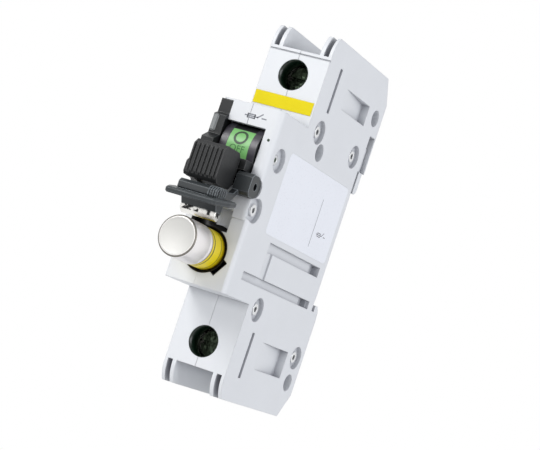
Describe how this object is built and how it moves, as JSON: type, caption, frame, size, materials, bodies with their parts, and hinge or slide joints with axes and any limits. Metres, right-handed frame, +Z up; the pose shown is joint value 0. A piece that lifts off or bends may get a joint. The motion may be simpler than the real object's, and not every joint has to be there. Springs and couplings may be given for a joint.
{
  "type": "fuse holder",
  "caption": "Rail mounted one pole switched fuse holder with an open finger cover, a drawn out cylindrical fuse and a screw terminal at each end.",
  "frame": {"origin": "middle of the seat that rests on the front of the mounting rail", "axes": "+X across the width, +Y from the front back towards the rail, +Z up along the height"},
  "size_m": [0.0176, 0.075, 0.0956],
  "materials": {
    "housing": "fine satin moulded finish",
    "black_plastic": "satin moulded finish",
    "green_flag": "smooth",
    "red_flag": "smooth",
    "lens": "smoked, smooth",
    "steel": "plated",
    "copper": "tinned",
    "nickel": "satin nickel plate",
    "fuse_body": "plain",
    "yellow_label": "plain, no print",
    "white_label": "plain, no print"
  },
  "bodies": {
    "housing": {"left_shell": "housing", "right_shell": "housing", "shell_rivets": "steel", "upper_contact_bar": "copper", "lower_contact_bar": "copper", "front_fuse_contact": "copper", "rear_fuse_contact": "copper", "upper_switch_contact": "copper", "lower_switch_contact": "copper", "toggle_pin": "steel", "toggle_spring": "steel", "cover_pin": "steel", "rail_clip_spring": "steel", "front_label": "yellow_label", "side_label": "white_label", "indicator_lens": "lens"},
    "toggle": {"switch_toggle": "black_plastic", "off_flag": "green_flag", "on_flag": "red_flag"},
    "contact_slide": {"contact_carrier": "black_plastic", "moving_contact": "copper"},
    "cover": {"fuse_cover": "black_plastic", "fuse_puller_clip": "nickel"},
    "fuse": {"fuse_front_cap": "nickel", "fuse_rear_cap": "nickel", "fuse_tube": "fuse_body", "fuse_label": "yellow_label"},
    "rail_clip": {"rail_clip": "housing"},
    "upper_screw": {"upper_terminal_screw": "steel"},
    "upper_clamp": {"upper_terminal_clamp": "steel"},
    "lower_screw": {"lower_terminal_screw": "steel"},
    "lower_clamp": {"lower_terminal_clamp": "steel"}
  },
  "joints": [
    {"name": "toggle_turn", "type": "hinge", "parent": "housing", "child": "toggle", "pos_m": [0, -0.0482, 0.012], "axis": [-1, 0, 0], "range_deg": [0, 60]},
    {"name": "contact_travel", "type": "slide", "parent": "housing", "child": "contact_slide", "axis": [0, 1, 0], "range_m": [0, 0.003]},
    {"name": "cover_turn", "type": "hinge", "parent": "housing", "child": "cover", "pos_m": [0, -0.0555, 0.0033], "axis": [1, 0, 0], "range_deg": [0, 45]},
    {"name": "fuse_travel", "type": "slide", "parent": "housing", "child": "fuse", "axis": [0, 1, 0], "range_m": [0, 0.0165]},
    {"name": "rail_clip_travel", "type": "slide", "parent": "housing", "child": "rail_clip", "axis": [0, 0, 1], "range_m": [0, 0.003], "stiffness_N_per_m": 2500, "springref_m": -0.002, "deforming": ["rail_clip_spring"]},
    {"name": "upper_screw_turn", "type": "hinge", "parent": "housing", "child": "upper_screw", "pos_m": [0, -0.031, 0.0355], "axis": [0, 1, 0], "range_deg": [0, 1080]},
    {"name": "upper_clamp_travel", "type": "slide", "parent": "housing", "child": "upper_clamp", "axis": [0, -1, 0], "range_m": [0, 0.003]},
    {"name": "lower_screw_turn", "type": "hinge", "parent": "housing", "child": "lower_screw", "pos_m": [0, -0.031, -0.0355], "axis": [0, 1, 0], "range_deg": [0, 1080]},
    {"name": "lower_clamp_travel", "type": "slide", "parent": "housing", "child": "lower_clamp", "axis": [0, -1, 0], "range_m": [0, 0.003]}
  ],
  "couplings": [
    {"joint": "toggle_turn", "follows": "contact_travel", "rad_per_m": 349.06},
    {"joint": "cover_turn", "follows": "fuse_travel", "rad_per_m": 47.599},
    {"joint": "upper_screw_turn", "follows": "upper_clamp_travel", "rad_per_m": 6283.2},
    {"joint": "lower_screw_turn", "follows": "lower_clamp_travel", "rad_per_m": 6283.2}
  ]
}
